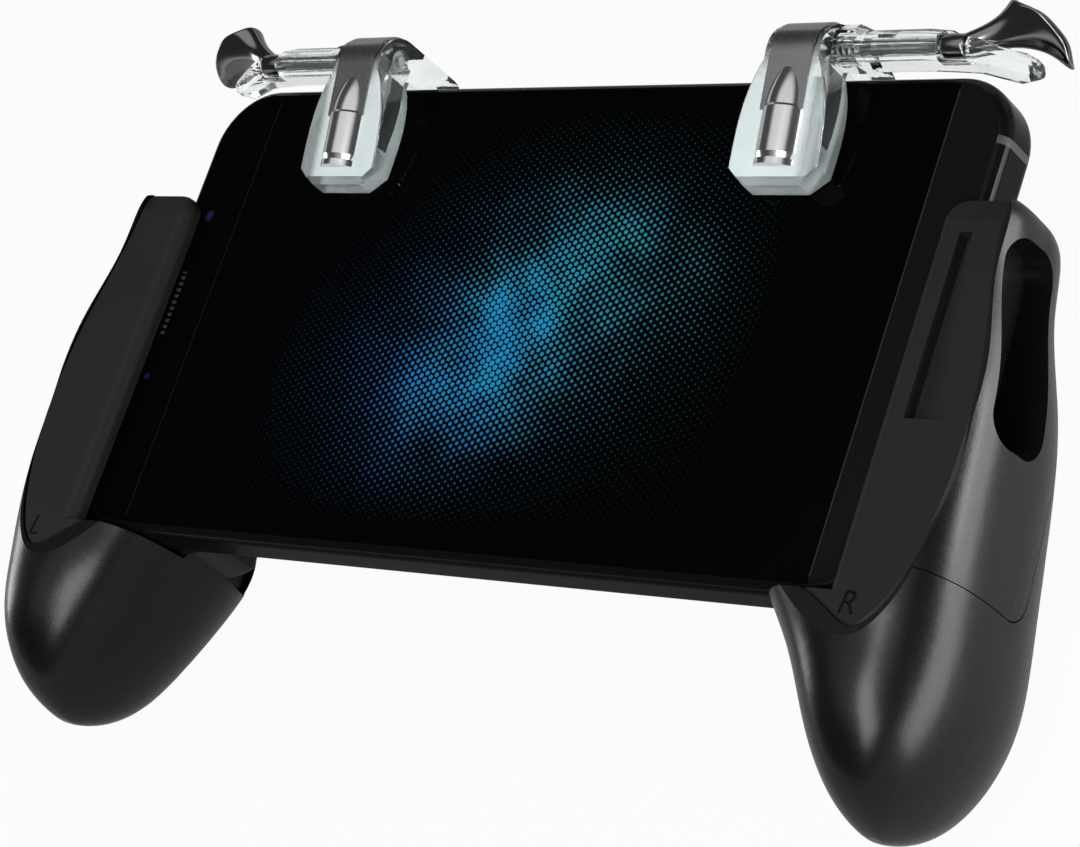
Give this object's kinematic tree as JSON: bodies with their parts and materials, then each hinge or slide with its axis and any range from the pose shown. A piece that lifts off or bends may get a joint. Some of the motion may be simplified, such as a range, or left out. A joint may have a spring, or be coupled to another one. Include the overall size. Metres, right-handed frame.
{
  "type": "mobile game controller",
  "caption": "Stretching handheld phone grip with clear clip-on shoulder triggers, holding a phone on its side.",
  "frame": {"origin": "middle of the bounding box at the level of the handles' rearmost points, on which the object lies", "axes": "+X along the phone to the right-hand grip, +Y up the picture towards the triggers, +Z out of the glass towards the player"},
  "size_m": [0.1714, 0.1108, 0.0396],
  "materials": {
    "handle_black": "satin black moulding",
    "cover_black": "satin black moulding",
    "plate_black": "matt black moulding",
    "bridge_black": "matt black moulding",
    "liner_rubber": "matt black rubber",
    "pad_rubber": "matt black rubber",
    "foot_rubber": "grey conductive rubber",
    "clear_plastic": "clear polished plastic",
    "rocker_plastic": "clear plastic with a yellow tint",
    "strip_metal": "dark satin metal",
    "bullet_chrome": "polished",
    "paddle_chrome": "dark polished chrome",
    "rod_steel": "ground steel",
    "spring_steel": "spring wire",
    "screw_steel": "blackened steel",
    "phone_metal": "gloss black anodised",
    "front_glass": "black gloss glass",
    "display": "display panel",
    "phone_back": "gloss black",
    "camera_ring": "dark ring with a sunk lens"
  },
  "bodies": {
    "left_grip": {"left_shell": "handle_black", "left_side_cover": "cover_black", "left_plate": "plate_black", "left_housing": "handle_black", "left_housing_screws": "screw_steel", "left_slot_liner": "liner_rubber", "bridge_sleeve": "bridge_black", "bridge_lid": "bridge_black", "bridge_screws": "screw_steel", "guide_rods": "rod_steel", "tension_spring": "spring_steel"},
    "right_grip": {"right_shell": "handle_black", "right_side_cover": "cover_black", "right_plate": "plate_black", "right_housing": "handle_black", "right_housing_screws": "screw_steel", "right_slot_liner": "liner_rubber", "bridge_arm": "bridge_black"},
    "phone": {"phone_frame": "phone_metal", "front_glass": "front_glass", "display_panel": "display", "back_cover": "phone_back", "rear_camera": "camera_ring"},
    "volume_button": {"volume_key": "phone_metal"},
    "power_button": {"power_key": "phone_metal"},
    "left_trigger": {"left_trigger_body": "clear_plastic", "left_trigger_strip": "strip_metal", "left_trigger_bullet": "bullet_chrome", "left_trigger_pad": "pad_rubber", "left_trigger_spring": "spring_steel"},
    "left_lever": {"left_trigger_shaft": "rod_steel", "left_trigger_paddle": "paddle_chrome", "left_trigger_rocker": "rocker_plastic", "left_trigger_foot": "foot_rubber"},
    "right_trigger": {"right_trigger_body": "clear_plastic", "right_trigger_strip": "strip_metal", "right_trigger_bullet": "bullet_chrome", "right_trigger_pad": "pad_rubber", "right_trigger_spring": "spring_steel"},
    "right_lever": {"right_trigger_shaft": "rod_steel", "right_trigger_paddle": "paddle_chrome", "right_trigger_rocker": "rocker_plastic", "right_trigger_foot": "foot_rubber"}
  },
  "joints": [
    {"name": "grip_stretch", "type": "slide", "parent": "left_grip", "child": "right_grip", "axis": [1, 0, 0], "range_m": [0, 0.02], "stiffness_N_per_m": 300, "springref_m": -0.03, "deforming": ["tension_spring"]},
    {"name": "phone_removal", "type": "slide", "parent": "left_grip", "child": "phone", "axis": [0, 1, 0], "range_m": [0, 0.06]},
    {"name": "volume_press", "type": "slide", "parent": "phone", "child": "volume_button", "axis": [0, -1, 0], "range_m": [0, 0.0003], "stiffness_N_per_m": 2000, "springref_m": -0.0002},
    {"name": "power_press", "type": "slide", "parent": "phone", "child": "power_button", "axis": [0, -1, 0], "range_m": [0, 0.0003], "stiffness_N_per_m": 2000, "springref_m": -0.0002},
    {"name": "left_trigger_shift", "type": "slide", "parent": "phone", "child": "left_trigger", "axis": [1, 0, 0], "range_m": [-0.006, 0.004]},
    {"name": "right_trigger_shift", "type": "slide", "parent": "phone", "child": "right_trigger", "axis": [1, 0, 0], "range_m": [-0.004, 0.006]},
    {"name": "left_lever_press", "type": "hinge", "parent": "left_trigger", "child": "left_lever", "pos_m": [-0.04005, 0.0484, 0.03424], "axis": [1, 0, 0], "range_deg": [0, 7], "stiffness_Nm_per_rad": 0.05, "springref_deg": -5.73},
    {"name": "right_lever_press", "type": "hinge", "parent": "right_trigger", "child": "right_lever", "pos_m": [0.04005, 0.0484, 0.03424], "axis": [1, 0, 0], "range_deg": [0, 7], "stiffness_Nm_per_rad": 0.05, "springref_deg": -5.73}
  ]
}
